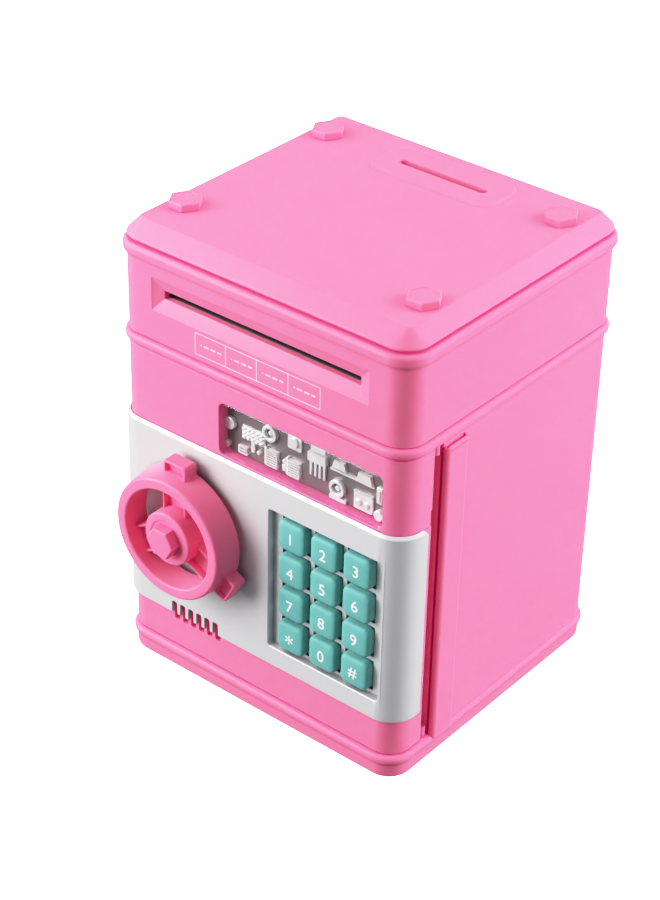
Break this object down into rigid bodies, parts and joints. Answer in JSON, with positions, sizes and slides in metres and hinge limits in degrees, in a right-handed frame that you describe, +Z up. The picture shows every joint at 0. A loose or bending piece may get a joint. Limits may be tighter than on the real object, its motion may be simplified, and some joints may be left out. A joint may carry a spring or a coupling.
{
  "type": "toy safe coin bank",
  "caption": "Box-shaped toy safe money bank with a keypad door, spoked handwheel latch, note slot in front and coin slot in the lid.",
  "frame": {"origin": "centre of the bounding box's bottom face, on the plane the rubber feet stand on", "axes": "+Z up, -Y towards the front with the door, keypad and note slot, +X towards the hinge side (right when seen from the front)"},
  "size_m": [0.1318, 0.141, 0.1841],
  "materials": {
    "pink_abs": "glossy injection-moulded ABS, light pink",
    "silver_paint": "satin silver paint on moulded plastic",
    "teal_rubber": "matt silicone rubber, teal",
    "grey_plastic": "plain moulded plastic",
    "black_plastic": "plain moulded plastic",
    "black_rubber": "matt rubber",
    "circuit_board": "green lacquered laminate",
    "steel": "plain bright steel",
    "white_plastic": "white moulded plastic",
    "clear_plastic": "clear polished polystyrene",
    "battery_can": "printed sleeve, left plain"
  },
  "bodies": {
    "body": {"lower_body": "pink_abs", "foot_front_left": "black_rubber", "foot_front_right": "black_rubber", "foot_back_left": "black_rubber", "foot_back_right": "black_rubber", "upper_housing": "pink_abs", "lid": "pink_abs", "hex_cap_front_left": "pink_abs", "hex_cap_front_right": "pink_abs", "hex_cap_back_left": "pink_abs", "hex_cap_back_right": "pink_abs", "mechanism_deck": "grey_plastic", "roller_cradle": "white_plastic", "coin_chute": "grey_plastic", "feed_motor": "steel", "control_board": "circuit_board", "hinge_pin_top": "steel", "hinge_pin_bottom": "steel"},
    "door": {"door_shell": "pink_abs", "faceplate": "silver_paint", "window_lens": "clear_plastic", "relief_panel": "white_plastic", "keypad_board": "circuit_board", "led_board": "circuit_board", "speaker": "black_plastic", "lock_solenoid": "steel", "door_inner_cover": "pink_abs", "battery_box": "black_plastic", "battery_cover": "pink_abs", "battery_cover_screw": "steel", "battery_1": "battery_can", "battery_2": "battery_can", "battery_3": "battery_can"},
    "wheel": {"handwheel": "pink_abs", "wheel_hub_bolt": "pink_abs", "wheel_shaft": "steel", "latch_gear": "white_plastic"},
    "latch": {"latch_bolt": "steel"},
    "feed_rollers": {"drive_shaft": "steel", "drive_roller_left": "black_rubber", "drive_roller_right": "black_rubber", "drive_gear": "white_plastic"},
    "pinion": {"motor_pinion": "steel"},
    "pinch": {"pinch_roller": "black_rubber"},
    "key_1_body": {"key_1": "teal_rubber"},
    "key_2_body": {"key_2": "teal_rubber"},
    "key_3_body": {"key_3": "teal_rubber"},
    "key_4_body": {"key_4": "teal_rubber"},
    "key_5_body": {"key_5": "teal_rubber"},
    "key_6_body": {"key_6": "teal_rubber"},
    "key_7_body": {"key_7": "teal_rubber"},
    "key_8_body": {"key_8": "teal_rubber"},
    "key_9_body": {"key_9": "teal_rubber"},
    "key_star_body": {"key_star": "teal_rubber"},
    "key_0_body": {"key_0": "teal_rubber"},
    "key_hash_body": {"key_hash": "teal_rubber"}
  },
  "joints": [
    {"name": "door_hinge", "type": "hinge", "parent": "body", "child": "door", "pos_m": [0.0622, -0.03375, 0.0728], "axis": [0, 0, 1], "range_deg": [0, 95]},
    {"name": "wheel_turn", "type": "hinge", "parent": "door", "child": "wheel", "pos_m": [-0.0292, -0.05145, 0.0712], "axis": [0, -1, 0], "range_deg": [0, 47]},
    {"name": "latch_slide", "type": "slide", "parent": "door", "child": "latch", "axis": [-1, 0, 0], "range_m": [0, 0.005]},
    {"name": "feed_spin", "type": "hinge", "parent": "body", "child": "feed_rollers", "pos_m": [0, -0.03145, 0.15], "axis": [1, 0, 0], "continuous": true},
    {"name": "pinion_spin", "type": "hinge", "parent": "body", "child": "pinion", "pos_m": [0, -0.02143, 0.1472], "axis": [1, 0, 0], "continuous": true},
    {"name": "pinch_spin", "type": "hinge", "parent": "body", "child": "pinch", "pos_m": [0, -0.03145, 0.1618], "axis": [1, 0, 0], "continuous": true},
    {"name": "key_1_press", "type": "slide", "parent": "door", "child": "key_1_body", "axis": [0, 1, 0], "range_m": [0, 0.0013], "stiffness_N_per_m": 600},
    {"name": "key_2_press", "type": "slide", "parent": "door", "child": "key_2_body", "axis": [0, 1, 0], "range_m": [0, 0.0013], "stiffness_N_per_m": 600},
    {"name": "key_3_press", "type": "slide", "parent": "door", "child": "key_3_body", "axis": [0, 1, 0], "range_m": [0, 0.0013], "stiffness_N_per_m": 600},
    {"name": "key_4_press", "type": "slide", "parent": "door", "child": "key_4_body", "axis": [0, 1, 0], "range_m": [0, 0.0013], "stiffness_N_per_m": 600},
    {"name": "key_5_press", "type": "slide", "parent": "door", "child": "key_5_body", "axis": [0, 1, 0], "range_m": [0, 0.0013], "stiffness_N_per_m": 600},
    {"name": "key_6_press", "type": "slide", "parent": "door", "child": "key_6_body", "axis": [0, 1, 0], "range_m": [0, 0.0013], "stiffness_N_per_m": 600},
    {"name": "key_7_press", "type": "slide", "parent": "door", "child": "key_7_body", "axis": [0, 1, 0], "range_m": [0, 0.0013], "stiffness_N_per_m": 600},
    {"name": "key_8_press", "type": "slide", "parent": "door", "child": "key_8_body", "axis": [0, 1, 0], "range_m": [0, 0.0013], "stiffness_N_per_m": 600},
    {"name": "key_9_press", "type": "slide", "parent": "door", "child": "key_9_body", "axis": [0, 1, 0], "range_m": [0, 0.0013], "stiffness_N_per_m": 600},
    {"name": "key_star_press", "type": "slide", "parent": "door", "child": "key_star_body", "axis": [0, 1, 0], "range_m": [0, 0.0013], "stiffness_N_per_m": 600},
    {"name": "key_0_press", "type": "slide", "parent": "door", "child": "key_0_body", "axis": [0, 1, 0], "range_m": [0, 0.0013], "stiffness_N_per_m": 600},
    {"name": "key_hash_press", "type": "slide", "parent": "door", "child": "key_hash_body", "axis": [0, 1, 0], "range_m": [0, 0.0013], "stiffness_N_per_m": 600}
  ],
  "couplings": [
    {"joint": "latch_slide", "follows": "wheel_turn", "m_per_rad": 0.006},
    {"joint": "pinion_spin", "follows": "feed_spin", "ratio": -2.25},
    {"joint": "pinch_spin", "follows": "feed_spin", "ratio": -1.28}
  ]
}
